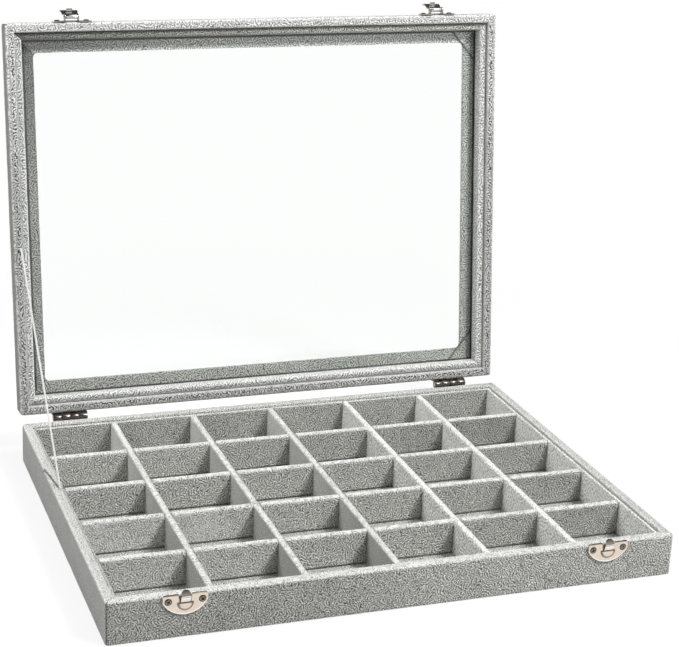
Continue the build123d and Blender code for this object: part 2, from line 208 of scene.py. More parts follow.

# The folds at the window's right-hand corners: how steep they are, how far inside the corner,
# how far along a strip its finer steps reach, and their half width, depth and painted shade
FOLD_SLOPE = 1.2
FOLD_OFFSET = 1.7
FOLD_STRETCH = 34.0
FOLD_STEP = 0.5
FOLD_HALF_WIDTH = 0.7
FOLD_DEPTH = 0.5
FOLD_SHADE = (0.92, 0.45, 0.9)

# Painted light: how pale each tray wall's rounded edges and its top are painted, how pale the
# left side of each column divider and of the right liner is painted, how much paler that is at
# the back, and how pale the front of each row divider is painted at the left
RIM_PALING = {"front": (1.0, 0.8), "back": (0.5, 0.0), "left": (1.0, 0.2), "right": (1.0, 0.2)}
PAINTED_SIDE_LIGHT = (0.0, 0.0, 0.0, 0.1, 0.5, 0.7)
PAINTED_BACK_LIGHT = (0.6, 50.0, 105.0)
PAINTED_ROW_LIGHT = (0.3, 0.5, 0.0, 0.0)
PAINTED_ROW_LIGHT_FADE = (-90.0, -20.0)

# Painted shade: how dark the nap is painted on boards, and parts of boards, that get less light
LEFT_WALL_SHADE = 0.2
FRONT_WALL_SHADE = (0.16, -60.0, 40.0)
BACK_LINER_SHADE = 0.2
COLUMN_SHADES = ((0.3, -60.0, 90.0), (0.3, -85.0, 55.0), (0.3, -110.0, 20.0))
ROW_SHADE = (0.24, -20.0, 160.0)
LAST_ROW_SHADE = (0.14, -80.0, -20.0)
SIDE_RAIL_SHADE = (0.25, -92.0, -20.0)
BACK_RAIL_SHADE = 0.28
FRONT_LINER_SHADE = 0.66
FRONT_LINER_POWER = 1.3
FRONT_LINER_LINE = (0.2, 1.0, 2.2)
BACK_LINER_LINE = (0.4, 1.8, 3.0)
GLASS_LINE = (0.9, GLASS_BOTTOM - 1.3, GLASS_BOTTOM - 0.3)
# How far each lid liner's edges take a painted highlight
LINER_PALING = {"left": 0.9, "front": 0.25, "right": 0.7, "back": 0.7}

# Painted shadow behind the glass: how far in from the case's side each face strip is painted
# black, as the liner's shadow, how dark its painted shade is beyond, how black that is, and the
# painted shade of the corner of the front and the left
STRIP_SHADE = {"front": (13.2, 0.0), "left": (14.4, 0.2), "right": (12.2, 0.0),
               "back": (12.2, 0.0)}
STRIP_BLACK = (0.92, -0.4, 0.3)
CORNER_SHADE = (0.36, 40.0, 130.0)

# The worms' frequency, contrast and stray in metres, how pale the painted highlight on an edge
# is between and in its clumps, its colour, the colour of painted shade and seams, and how far
# smears change the gloss of metal
WORM_SCALE = 335.0
WORM_DEPTH = 0.76
NAP_STRAY = 0.0015
EDGE_PALING = (0.15, 0.85)
SMEAR = 0.08
EDGE_COLOUR = (0.93, 0.93, 0.91, 1)
SEAM_AND_SHADE_COLOUR = (0.025, 0.025, 0.022, 1)

# The floor round the part: half its width and how far it lies below zero, in metres
FLOOR_HALF = 6.0
FLOOR_DROP = 0.0002


# Nodes and materials

def node_adder(tree):
    """A function that adds a node to the tree, with its settings, inputs and links."""
    def add(kind, inputs=None, **settings):
        node = tree.nodes.new("ShaderNode" + kind)
        for key, value in settings.items():
            setattr(node, key, value)
        for key, value in (inputs or {}).items():
            if isinstance(value, bpy.types.NodeSocket):
                tree.links.new(value, node.inputs[key])
            else:
                node.inputs[key].default_value = value
        return node

    return add


def new_material(name):
    """An empty node material, and a function that adds nodes to it."""
    material = bpy.data.materials.new(name)
    material.use_nodes = True
    material.node_tree.nodes.clear()
    return material, node_adder(material.node_tree)


def ramp(node, stops):
    """Set a colour ramp's stops: a list of place and linear colour."""
    elements = node.color_ramp.elements
    elements.remove(elements[1])
    elements[0].position = stops[0][0]
    elements[0].color = (*stops[0][1], 1)
    for place, colour in stops[1:]:
        elements.new(place).color = (*colour, 1)


def velvet(name, dark, light, scale=1.0, contrast=1.0, bump=1.0, smoothed=0.6, sheen=1.0):
    """Crushed velvet: short nap in light and dark worms, with painted highlights and shade.

    The edge attribute paints a highlight on rounded edges and tops, and the dark attribute
    paints shade and the seams' lines. scale widens the worms, and contrast sets how far they
    leave the middle tone. smoothed multiplies that contrast on the faces that look along -X,
    bump is the depth of the tufts, and sheen is how much light the nap's tips catch.
    """
    material, add = new_material(name)
    place = add("TexCoord").outputs["Object"]
    sheet = add("Attribute", attribute_name="sheet")
    stray = add("TexNoise", {"Vector": place, "Scale": 500.0, "Detail": 1.0})
    bent = add("VectorMath", {0: stray.outputs["Color"], 1: (NAP_STRAY, NAP_STRAY, 0.0),
                              2: sheet.outputs["Vector"]}, operation="MULTIPLY_ADD")
    swirl = add("TexNoise", {"Vector": place, "Scale": 105.0 / scale, "Detail": 1.0})
    lie = add("MapRange", {"Value": swirl.outputs["Fac"], "From Min": 0.3, "From Max": 0.7,
                           "To Min": -math.pi, "To Max": math.pi})
    nap = add("TexGabor", {"Vector": bent.outputs["Vector"], "Scale": WORM_SCALE / scale,
                           "Frequency": 2.0, "Anisotropy": 0.55,
                           "Orientation": lie.outputs["Result"]}, gabor_type="2D")
    tuft = add("TexNoise", {"Vector": place, "Scale": 1300.0 / scale, "Detail": 0.0})
    patches = add("TexNoise", {"Vector": place, "Scale": 70.0, "Detail": 3.0})
    worm = add("MapRange", {"Value": nap.outputs["Value"], "From Min": 0.25, "From Max": 0.75,
                            "To Min": -1.0, "To Max": 1.0})
    side = add("SeparateXYZ", {0: add("NewGeometry").outputs["Normal"]})
    brushed = add("MapRange", {"Value": side.outputs["X"], "From Min": -0.9, "From Max": -0.4,
                               "To Min": smoothed, "To Max": 1.0})
    depth = add("Math", {0: brushed.outputs["Result"], 1: WORM_DEPTH * contrast},
                operation="MULTIPLY")
    tone = add("Math", {0: worm.outputs["Result"], 1: depth.outputs[0], 2: 0.4},
               operation="MULTIPLY_ADD")
    tone = add("Math", {0: patches.outputs["Fac"], 1: 0.2, 2: tone.outputs[0]},
               operation="MULTIPLY_ADD", use_clamp=True)
    colour = add("ValToRGB", {"Fac": tone.outputs[0]})
    ramp(colour, [(0.0, dark), (1.0, light)])
    # Painted highlight: the edge attribute, broken up in clumps, mixes the colour towards near
    # white
    edge = add("Attribute", attribute_name="edge")
    clump = add("TexNoise", {"Vector": place, "Scale": 420.0, "Detail": 1.0})
    highlight_share = add("MapRange", {"Value": clump.outputs["Fac"], "From Min": 0.35,
                                "From Max": 0.65, "To Min": EDGE_PALING[0],
                                "To Max": EDGE_PALING[1]})
    painted_light = add("Math", {0: edge.outputs["Fac"], 1: highlight_share.outputs["Result"]},
               operation="MULTIPLY")
    pale = add("MixRGB", {0: painted_light.outputs[0], 1: colour.outputs["Color"], 2: EDGE_COLOUR})
    # Painted shade, and the seams' dark lines: the dark attribute mixes the colour towards near
    # black
    seam_and_shade = add("Attribute", attribute_name="dark")
    base = add("MixRGB", {0: seam_and_shade.outputs["Fac"], 1: pale.outputs[0], 2: SEAM_AND_SHADE_COLOUR})
    relief = add("Bump", {"Height": tuft.outputs["Fac"], "Strength": bump, "Distance": 0.0008})
    shader = add("BsdfPrincipled", {
        "Base Color": base.outputs[0], "Roughness": 0.95, "Specular IOR Level": 0.15,
        "Sheen Weight": sheen, "Sheen Roughness": 0.4, "Sheen Tint": (1, 1, 1, 1),
        "Normal": relief.outputs["Normal"]})
    add("OutputMaterial", {"Surface": shader.outputs[0]})
    return material


def metal(name, base, roughness):
    """Plated metal with faint smears and fine scratches.

    An occlusion node paints shade into its hollows, the edge attribute paints a highlight, and
    the dark attribute paints shade and seams.
    """
    material, add = new_material(name)
    place = add("TexCoord").outputs["Object"]
    smear = add("TexNoise", {"Vector": place, "Scale": 300.0, "Detail": 3.0})
    rough = add("MapRange", {"Value": smear.outputs["Fac"], "To Min": roughness - SMEAR,
                             "To Max": roughness + SMEAR})
    fine = add("TexNoise", {"Vector": place, "Scale": 2400.0, "Detail": 2.0})
    relief = add("Bump", {"Height": fine.outputs["Fac"], "Strength": 0.15, "Distance": 0.00005})
    tone = add("ValToRGB", {"Fac": smear.outputs["Fac"]})
    ramp(tone, [(0.3, [c * 0.86 for c in base]), (0.7, base)])
    # Painted shade: an occlusion node darkens the colour in hollows and creases
    hollow = add("AmbientOcclusion", {"Distance": 0.0012}, samples=8)
    occlusion_shade = add("MapRange", {"Value": hollow.outputs["AO"], "From Min": 0.35,
                             "From Max": 0.85, "To Min": 0.04, "To Max": 1.0})
    painted_light = add("MixRGB", {0: occlusion_shade.outputs["Result"], 1: (0.02, 0.018, 0.016, 1),
                          2: tone.outputs["Color"]})
    # Painted highlight: the edge attribute mixes the colour towards near white
    edge = add("Attribute", attribute_name="edge")
    edge_highlight = add("MixRGB", {0: edge.outputs["Fac"], 1: painted_light.outputs[0],
                            2: (0.97, 0.95, 0.92, 1)})
    seam_and_shade = add("Attribute", attribute_name="dark")
    final = add("MixRGB", {0: seam_and_shade.outputs["Fac"], 1: edge_highlight.outputs[0],
                           2: (0.015, 0.013, 0.012, 1)})
    shader = add("BsdfPrincipled", {
        "Base Color": final.outputs[0], "Metallic": 1.0,
        "Roughness": rough.outputs["Result"], "Normal": relief.outputs["Normal"]})
    add("OutputMaterial", {"Surface": shader.outputs[0]})
    return material


def clear_glass(name):
    """Float glass, faintly green, that lets lamp light through to what is behind it."""
    material, add = new_material(name)
    glass = add("BsdfPrincipled", {
        "Base Color": (0.975, 0.99, 0.98, 1), "Roughness": 0.0, "IOR": 1.35,
        "Transmission Weight": 1.0})
    clear = add("BsdfTransparent", {"Color": (0.86, 0.89, 0.87, 1)})
    shadow = add("LightPath").outputs["Is Shadow Ray"]
    mix = add("MixShader", {0: shadow, 1: glass.outputs[0], 2: clear.outputs[0]})
    add("OutputMaterial", {"Surface": mix.outputs[0]})
    return material


def fibrous(name, grain, stops, bump, finish):
    """Pressed or twisted fibres, pale and dark."""
    material, add = new_material(name)
    place = add("TexCoord").outputs["Object"]
    fibre = add("TexNoise", {"Vector": place, **grain})
    colour = add("ValToRGB", {"Fac": fibre.outputs["Fac"]})
    ramp(colour, stops)
    relief = add("Bump", {"Height": fibre.outputs["Fac"], **bump})
    shader = add("BsdfPrincipled", {"Base Color": colour.outputs["Color"], **finish,
                                    "Normal": relief.outputs["Normal"]})
    add("OutputMaterial", {"Surface": shader.outputs[0]})
    return material


# Copies of the velvet in other tones: COLUMN_VELVET is lighter, painted light on the right-hand
# column dividers and the right liner; SIDE_VELVET is darker with less sheen, painted shade on
# the lid's left side; FACE_VELVET is darker, painted shade on the face strips behind the glass,
# and FRONT_FACE_VELVET lighter, painted light on the front one
VELVET = velvet("velvet", (0.10, 0.102, 0.095), (0.90, 0.905, 0.85))
RIM_VELVET = velvet("velvet_lid", (0.22, 0.222, 0.22), (1.0, 1.0, 0.98), 1.2, 1.7,
                    smoothed=1.0)
RAIL_VELVET = velvet("velvet_rail", (0.05, 0.052, 0.05), (1.0, 1.0, 0.975), 1.2, 1.7,
                     smoothed=1.0)
COLUMN_VELVET = velvet("velvet_column", (0.38, 0.382, 0.365), (1.0, 1.0, 0.95), 1.5, 1.2,
                       smoothed=2.2)
SIDE_VELVET = velvet("velvet_side", (0.09, 0.09, 0.085), (0.42, 0.42, 0.40), sheen=0.1)
LINER_VELVET = velvet("velvet_liner", (0.10, 0.10, 0.094), (0.98, 0.98, 0.90), 1.0, 1.4)
FACE_VELVET = velvet("velvet_face", (0.06, 0.06, 0.058), (0.50, 0.50, 0.475), 1.1, 1.3, 0.5,
                     smoothed=1.0)
FRONT_FACE_VELVET = velvet("velvet_front_face", (0.24, 0.24, 0.232), (1.0, 1.0, 0.965), 1.1,
                           1.5, 0.5, smoothed=1.0)
LATCH_NICKEL = metal("latch_nickel", (0.40, 0.37, 0.34), 0.2)
HINGE_NICKEL = metal("hinge_nickel", (0.17, 0.15, 0.135), 0.25)
NICKEL = metal("nickel_plate", (0.80, 0.69, 0.59), 0.2)
LEVER = metal("lever_nickel", (0.74, 0.73, 0.71), 0.18)
STEEL = metal("screw_steel", (0.55, 0.53, 0.50), 0.3)
DARK_STEEL = metal("old_screw_steel", (0.30, 0.26, 0.23), 0.25)
GLASS = clear_glass("clear_glass")
CARD = fibrous("base_board", {"Scale": 350.0, "Detail": 5.0, "Roughness": 0.7},
               [(0.35, (0.23, 0.22, 0.20)), (0.65, (0.38, 0.37, 0.35))],
               {"Strength": 0.3, "Distance": 0.0002}, {"Roughness": 0.9})
TWINE = fibrous("white_cord", {"Scale": 2500.0, "Detail": 2.0},
                [(0.3, (0.62, 0.62, 0.60)), (0.7, (0.84, 0.84, 0.82))],
                {"Strength": 0.4, "Distance": 0.0001}, {"Roughness": 0.7, "Sheen Weight": 0.4})


# Mesh helpers

def open_lid():
    """The turn that takes a piece of the closed lid to the open one."""
    axis = Vector((0, HINGE_Y * MM, HINGE_Z * MM))
    turn = Matrix.Rotation(math.radians(-LID_OPEN_ANGLE), 4, "X")
    return Matrix.Translation(axis) @ turn @ Matrix.Translation(-axis)


def new_object(name, data):
    """An object of the scene that shows the data."""
    piece = bpy.data.objects.new(name, data)
    bpy.context.scene.collection.objects.link(piece)
    return piece


def make_object(name, vertices, faces, material, flat_faces=0, marks=None):
    """A mesh object from points in millimetres. The last flat_faces faces stay flat.

    marks gives point attributes by name: "edge" is how far a point takes a painted highlight on
    a rounded edge or a top, "dark" how far it takes painted shade or lies in a seam, both from 0
    to 1, and "sheet" where the point is on the flat velvet, as triples.
    """
    mesh = bpy.data.meshes.new(name)
    mesh.from_pydata([(x * MM, y * MM, z * MM) for x, y, z in vertices], [], faces)
    smooth = [True] * (len(faces) - flat_faces) + [False] * flat_faces
    mesh.polygons.foreach_set("use_smooth", smooth)
    for mark, values in (marks or {}).items():
        if mark == "sheet":
            flat = [c * MM for point in values for c in point]
            mesh.attributes.new(mark, "FLOAT_VECTOR", "POINT").data.foreach_set("vector", flat)
        else:
            mesh.attributes.new(mark, "FLOAT", "POINT").data.foreach_set("value", values)
    cleaner = bmesh.new()
    cleaner.from_mesh(mesh)
    bmesh.ops.remove_doubles(cleaner, verts=cleaner.verts, dist=WELD_DISTANCE)
    bmesh.ops.dissolve_degenerate(cleaner, edges=cleaner.edges, dist=1e-6)
    bmesh.ops.recalc_face_normals(cleaner, faces=cleaner.faces)
    cleaner.to_mesh(mesh)
    cleaner.free()
    mesh.materials.append(material)
    return new_object(name, mesh)


def attach(piece, body, node):
    """Ride on a body and stand for a CAD node, which is hidden."""
    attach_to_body(piece, body)
    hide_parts(node)


def section(thickness, low, high, radii, steps):
    """A board's cross-section as a closed loop of (u, w, normal u, normal w).

    u runs from the outer face inwards and w upwards. radii are of the edges outer-low,
    outer-high, inner-high and inner-low, and steps of the outer face, top, inner face and foot.
    """
    corners = [((0, low), 180, 270), ((0, high), 90, 180), ((thickness, high), 0, 90),
               ((thickness, low), -90, 0)]
    loop = []
    for index, ((u, w), start, end) in enumerate(corners):
        radius = radii[index]
        cu = u + (radius if u == 0 else -radius)
        cw = w + (radius if w == low else -radius)
        turns = [(start + end) / 2]
        if radius:
            count = max(1, round(radius * math.pi / 2 / ARC_STEP))
            turns = [end + (start - end) * step / count for step in range(count + 1)]
        loop.append([(cu + radius * math.cos(angle), cw + radius * math.sin(angle),
                      math.cos(angle), math.sin(angle)) for angle in map(math.radians, turns)])
    normals = ((-1, 0), (0, 1), (1, 0), (0, -1))
    points = []
    for index in range(4):
        points += loop[index]
        first, second = loop[index][-1], loop[(index + 1) % 4][0]
        run = math.hypot(second[0] - first[0], second[1] - first[1])
        count = max(1, round(run / steps[index]))
        for step in range(1, count):
            share = step / count
            points.append((first[0] + (second[0] - first[0]) * share,
                           first[1] + (second[1] - first[1]) * share, *normals[index]))
    return points


def stations(half, step, fine=()):
    """Places along a board from -half to half, closer together in the fine stretches."""
    places = []
    here = -half
    while here < half - 1e-6:
        places.append(here)
        local = step
        for start, end, small in fine:
            if start - step / 2 <= here <= end:
                local = min(local, small)
        here += local
    places.append(half)
    if len(places) > 2 and places[-1] - places[-2] < step / 4:
        places.pop(-2)
    return places


def nap(point, normal, depth=1.0):
    """Move a point of the velvet's surface inwards by the nap and the slow waves."""
    here = Vector(point)
    fine = noise.noise(here / NAP_SIZE)
    slow = noise.noise(here / WAVE_SIZE + Vector((7.3, 1.9, 4.1)))
    inwards = NAP_DEPTH * (0.5 + 0.5 * fine) + WAVE_DEPTH * (0.5 + 0.5 * slow)
    return Vector(point) - Vector(normal) * inwards * depth


def girth(loop):
    """How far along the velvet each point of a section lies, from its first point."""
    lengths = [0.0]
    for (u, w, _, _), (next_u, next_w, _, _) in zip(loop, loop[1:]):
        lengths.append(lengths[-1] + math.hypot(next_u - u, next_w - w))
    return lengths


def cut_from():
    """Where on the roll the next board's velvet is cut, so no two boards look the same."""
    return 61.7 * len(bpy.data.meshes)


def grid_faces(rings, count):
    """Quads between closed rings of count points, with a flat cap at each end."""
    faces = []
    for ring in range(rings - 1):
        for k in range(count):
            n = (k + 1) % count
            faces.append((ring * count + k, ring * count + n,
                          (ring + 1) * count + n, (ring + 1) * count + k))
    faces.append(tuple(range(count)))
    faces.append(tuple(range((rings - 1) * count, rings * count)))
    return faces


def corner_arc(u, corner, width, window):
    """Where the arc at depth u is centred, in from the board's corner, and its radius."""
    if u < corner:
        return corner, corner - u
    inside = max(u - (width - window), 0.0) if window else 0.0
    return u + inside, inside


def mitred_board(name, side, margin, loop, corner, window=0.0, width=0.0, fine=(),
                 mark=None, seam=0.0, paling=1.0, top=0.0, inner=0.0, material=VELVET):
    """One side of a mitred frame, its section swept round half of each corner.

    mark takes a surface point and its place in the section, and returns the point moved for a
    cut or a fold and how dark it is painted there, as painted shade. seam is how dark the
    mitres' lines are, paling how far the edges take a painted highlight, and top and inner how
    far the top and the inner face do.
    """
    half_x = CASE_WIDTH / 2 - margin
    half_y = CASE_DEPTH / 2 - margin
    along_x = side in ("front", "back")
    half_length, reach = (half_x, half_y) if along_x else (half_y, half_x)
    sign = -1 if side in ("front", "left") else 1
    turns = CORNER_TURNS if corner or window else ()
    plan = [(-1, turn, 0.0) for turn in turns]
    plan += [(0, 0.0, place) for place in stations(half_length - corner, LENGTH_STEP, fine)]
    plan += [(1, turn, 0.0) for turn in reversed(turns)]
    vertices = []
    darks = []
    sheet = []
    start = cut_from()
    for end, turn, place in plan:
        angle = math.radians(turn)
        for (u, w, nu, nw), round_it in zip(loop, girth(loop)):
            centre, radius = corner_arc(u, corner, width, window)
            along = place * (half_length - centre) / (half_length - corner)
            if end:
                along = end * (half_length - centre + radius * math.sin(angle))
            out = sign * (reach - centre + radius * math.cos(angle))
            normal_along = -nu * math.sin(angle) * end
            normal_out = -nu * math.cos(angle) * sign
            if along_x:
                point = Vector((along, out, w))
                normal = Vector((normal_along, normal_out, nw))
            else:
                point = Vector((out, along, w))
                normal = Vector((normal_out, normal_along, nw))
            moved = nap(point, normal.normalized())
            sheet.append((start + along, start + round_it, 0.0))
            dark = seam if turn in CORNER_TURNS[:2] else 0.0
            if mark:
                moved, more = mark(moved, u, w, nu, nw)
                dark = max(dark, more)
            vertices.append(tuple(moved))
            darks.append(dark)
    edges = [max(edge_share(nu, nw) * paling, top_share(nu, nw) * top, inner * (nu > ON_FACE))
             for _, _, nu, nw in loop] * len(plan)
    marks = {"edge": edges, "dark": darks, "sheet": sheet}
    faces = grid_faces(len(plan), len(loop))
    return make_object(name, vertices, faces, material, flat_faces=2, marks=marks)


def edge_share(nu, nw):
    """How far a normal lies between two faces of a board: 0 on a face, 1 in between."""
    return min(1.0, 2 * abs(nu * nw))


def top_share(nu, nw):
    """How far a normal looks up, from 0.2 to 0.7: the share of painted highlight on narrow tops.
    """
    return min(max((nw - 0.2) / 0.5, 0.0), 1.0)


def straight_board(name, axis, middle, length, loop, slots=(), step=LENGTH_STEP,
                   share=edge_share, side_light=None, foot=0.0, shade=None, material=VELVET):
    """A straight board with square ends. slots are (start, end, low limit, high limit).

    share gives how far each normal takes a painted highlight, and foot how dark the painted
    shade is along the bottom. side_light gives how pale the side of the low u is painted at each
    place along the board, as painted light, and shade how dark, as painted shade.
    """
    half = length / 2
    places = stations(half, step)
    ends = []
    for start, end, _, _ in slots:
        places = [p for p in places if not start - SLOT_MARGIN < p < end + SLOT_MARGIN]
        ends += [start - SLOT_SIDE, start, end, end + SLOT_SIDE]
    places = sorted(places + ends)
    vertices = []
    sheet = []
    start = cut_from()
    edges = [max(share(nu, nw), side_light(s) * (nu < -ON_FACE) if side_light else 0.0)
             for s in places for _, _, nu, nw in loop]
    lowest = min(w for _, w, _, _ in loop)
    darks = [max(foot * (w < lowest + FOOT_LINE), shade(s) * (nu < -ON_FACE) if shade else 0.0)
             for s in places for _, w, nu, _ in loop]
    width = max(u for u, _, _, _ in loop)
    for s in places:
        limits = [(low, high) for start, end, low, high in slots
                  if start - 1e-6 <= s <= end + 1e-6]
        for (u, w, nu, nw), round_it in zip(loop, girth(loop)):
            sheet.append((start + s, start + round_it, 0.0))
            across = u - width / 2
            if axis == "x":
                point = Vector((middle[0] + s, middle[1] + across, w))
                normal = Vector((0, nu, nw))
            else:
                point = Vector((middle[0] + across, middle[1] + s, w))
                normal = Vector((nu, 0, nw))
            moved = nap(point, normal)
            for low, high in limits:
                moved.z = min(max(moved.z, low), high)
            vertices.append(tuple(moved))
    faces = grid_faces(len(places), len(loop))
    marks = {"edge": edges, "dark": darks, "sheet": sheet}
    return make_object(name, vertices, faces, material, flat_faces=2, marks=marks)


# Marks in the velvet

def ease(value, low, high):
    """0 below low, 1 above high, and a smooth change in between."""
    share = min(max((value - low) / (high - low), 0.0), 1.0)
    return share * share * (3 - 2 * share)


def gain(value, shade):
    """A shade that deepens as the value grows: its depth, from where and to where."""
    depth, low, high = shade
    return depth * ease(value, low, high)


def fade(value, shade):
    """A shade that fades as the value grows: its depth, from where and to where."""
    depth, low, high = shade
    return depth * (1 - ease(value, low, high))


def cord_slit(point, u, w, nu, nw):
    """The cut in the rim's velvet, from the cord's hole back and out to the side, with painted
    shade in it.

    The wall's outer face is painted a little darker than the other walls', as painted shade.
    """
    start = Vector((CORD_X, CORD_ROUTE[0][1]))
    end = Vector(SLIT_END)
    along = end - start
    here = Vector((point.x, point.y)) - start
    share = here.dot(along) / along.length_squared
    if not SLIT_SPAN[0] < share < SLIT_SPAN[1] or point.z < TRAY_HEIGHT - RIM_RADIUS - 1:
        return point, LEFT_WALL_SHADE * (nu < -ON_FACE)
    off = abs(here.cross(along)) / along.length
    lip_off, lip_half_width, lip_height = SLIT_LIP
    depth = max(0.0, 1 - off / SLIT_HALF_WIDTH) * SLIT_DEPTH
    lift = max(0.0, 1 - abs(off - lip_off) / lip_half_width) * lip_height
    return point - Vector((0, 0, depth - lift)), fade(off, SLIT_SHADE)


def window_folds(point):
    """The creases round the window's right-hand corners, darkened with painted shade."""
    if point.x < 0:
        return point, 0.0
    out_x = point.x - (CASE_WIDTH / 2 - FACE_WIDTH)
    out_y = abs(point.y) - (CASE_DEPTH / 2 - FACE_WIDTH)
    off = abs(FOLD_SLOPE * out_x + out_y + FOLD_OFFSET) / math.hypot(FOLD_SLOPE, 1)
    depth = max(0.0, 1 - off / FOLD_HALF_WIDTH) * FOLD_DEPTH
    return point + Vector((0, 0, depth)), fade(off, FOLD_SHADE)


def faded_liner(point, u, w, nu, nw):
    """The front liner, with painted shade beside the rail and more and more towards the left."""
    beside = fade(u, FRONT_LINER_LINE) * ease(-nw, *FACING)
    leftness = min(max(0.5 - point.x / CASE_WIDTH, 0.0), 1.0)
    return point, max(beside, FRONT_LINER_SHADE * leftness ** FRONT_LINER_POWER)


def hinged_liner(point, u, w, nu, nw):
    """The back liner, with painted shade on its half beside the rail and a painted shadow at the
    glass.
    """
    beside = fade(u, BACK_LINER_LINE) * ease(-nw, *FACING)
    return point, max(beside, glass_line(point, u, w, nu, nw)[1])


def shaded_side_rail(point, u, w, nu, nw):
    """A side rail, whose nap is painted darker towards the hinges, as painted shade."""
    return point, gain(point.y, SIDE_RAIL_SHADE) * (nw < LOOKS_DOWN)


def hinged_rail(point, u, w, nu, nw):
    """The back rail, whose nap is painted dark all along, as painted shade."""
    return point, BACK_RAIL_SHADE * (nw < LOOKS_DOWN)


def glass_line(point, u, w, nu, nw):
    """The dark line where a liner meets the glass: a painted shadow."""
    return point, gain(w, GLASS_LINE) * ease(nu, *FACING)


def shaded_front(point, u, w, nu, nw):
    """The tray's front wall, whose outer face is painted darker towards the left: painted shade.
    """
    return point, fade(point.x, FRONT_WALL_SHADE) * (nu < -ON_FACE)


def shaded_liner(point, u, w, nu, nw):
    """The tray's back liner, whose inner face is painted a little darker: painted shade."""
    return point, BACK_LINER_SHADE * (nu > ON_FACE)


def strip_shade(side):
    """The marks of a face strip: its folds, the liner's painted shadow beside it and its own
    painted shade.

    The painted shade is deeper at the corner of the front and the left.
    """
    reach, shade = STRIP_SHADE[side]

    def mark(point, u, w, nu, nw):
        if w > LID_TOP - FACE / 2:
            return point, 0.0
        point, dark = window_folds(point)
        off = math.hypot(point.x + CASE_WIDTH / 2, point.y + CASE_DEPTH / 2)
        corner = shade + fade(off, CORNER_SHADE)
        return point, max(dark, corner, fade(u - reach, STRIP_BLACK))

    return mark


# Velvet boards of the tray

def build_tray():
    liner = section(TRAY_LINER, FLOOR_TOP, DIVIDER_TOP,
                    (0.0, LINER_BACK_RADIUS, LINER_RADIUS, 0.0),
                    (HIDDEN_STEP, TOP_STEP, SECTION_STEP, HIDDEN_STEP))
    for side in SIDES:
        mark = {"left": cord_slit, "front": shaded_front}.get(side)
        fine = (SLIT_STRETCH,) if side == "left" else ()
        loop = section(WALL, 0.0, TRAY_HEIGHT,
                       (FOOT_RADIUS, RIM_RADIUS, RIM_INNER_RADIUS, FOOT_RADIUS),
                       (SECTION_STEP, SLIT_STEP if fine else RIM_STEP, HIDDEN_STEP, HIDDEN_STEP))
        paling, top = RIM_PALING[side]
        board = mitred_board(f"velvet_tray_{side}_wall", side, 0.0, loop, CORNER, fine=fine,
                             mark=mark, seam=0.8, paling=paling, top=top)
        attach(board, "tray", f"tray_{side}_wall")
        board = mitred_board(f"velvet_tray_{side}_liner", side, WALL, liner, 0.0,
                             mark=shaded_liner if side == "back" else None,
                             inner=PAINTED_SIDE_LIGHT[-1] if side == "right" else 0.0,
                             material=COLUMN_VELVET if side == "right" else VELVET)
        attach(board, "tray", f"tray_{side}_liner")


def divider_places(length, cells):
    """The middles of the dividers between so many cells in a length."""
    cell = (length - (cells - 1) * DIVIDER) / cells
    return [-length / 2 + (i + 1) * (cell + DIVIDER) - DIVIDER / 2 for i in range(cells - 1)]


def column_light(index):
    """How pale the left side of a column divider is painted: painted light, paler at the back.
    """
    return lambda place: min(PAINTED_SIDE_LIGHT[index] + gain(place, PAINTED_BACK_LIGHT), 1.0)


def column_shade(index):
    """Painted shade on the left side of a left-hand column divider: darker at the front."""
    return lambda place: fade(place, COLUMN_SHADES[index])


def row_light(index):
    """Painted light on the front of a row divider: the two at the front are paler at the left.
    """
    return lambda place: fade(place, (PAINTED_ROW_LIGHT[index], *PAINTED_ROW_LIGHT_FADE))


def row_shade(index):
    """Painted shade on the front of a row divider: darker at the right, and most so at the back.
    """
    last = index == ROWS - 2
    return lambda place: gain(place, ROW_SHADE) + gain(place, LAST_ROW_SHADE) * last


def build_dividers():
    inner_width = CASE_WIDTH - 2 * (WALL + TRAY_LINER)
    inner_depth = CASE_DEPTH - 2 * (WALL + TRAY_LINER)
    across = divider_places(inner_width, COLUMNS)
    deep = divider_places(inner_depth, ROWS)
    half = DIVIDER / 2 + SLOT_PLAY
    middle_height = (FLOOR_TOP + DIVIDER_TOP) / 2
    loop = section(DIVIDER, FLOOR_TOP, DIVIDER_TOP, (0.0, DIVIDER_RADIUS, DIVIDER_RADIUS, 0.0),
                   (SECTION_STEP, TOP_STEP, SECTION_STEP, HIDDEN_STEP))
    for index, x in enumerate(across):
        slots = [(y - half, y + half, middle_height, math.inf) for y in deep]
        on_left = index < len(COLUMN_SHADES)
        board = straight_board(f"velvet_column_divider_{index + 1}", "y", (x, 0.0),
                               inner_depth, loop, slots, share=top_share,
                               side_light=column_light(index),
                               shade=column_shade(index) if on_left else None,
                               material=VELVET if on_left else COLUMN_VELVET)
        attach(board, "tray", f"column_divider_{index + 1}")
    for index, y in enumerate(deep):
        slots = [(x - half, x + half, -math.inf, middle_height) for x in across]
        board = straight_board(f"velvet_row_divider_{index + 1}", "x", (0.0, y),
                               inner_width, loop, slots, share=top_share,
                               side_light=row_light(index), foot=0.9, shade=row_shade(index))
        attach(board, "tray", f"row_divider_{index + 1}")


def build_floor():
    pad = section(CASE_DEPTH - 2 * WALL, FLOOR_BOTTOM, FLOOR_TOP, (0.0, 0.0, 0.0, 0.0),
                  (HIDDEN_STEP, FLOOR_STEP, HIDDEN_STEP, FLOOR_FOOT_STEP))
    board = straight_board("velvet_floor_pad", "x", (0.0, 0.0), CASE_WIDTH - 2 * WALL, pad,
                           step=FLOOR_STEP)
    attach(board, "tray", "tray_floor_pad")


# Velvet boards of the lid

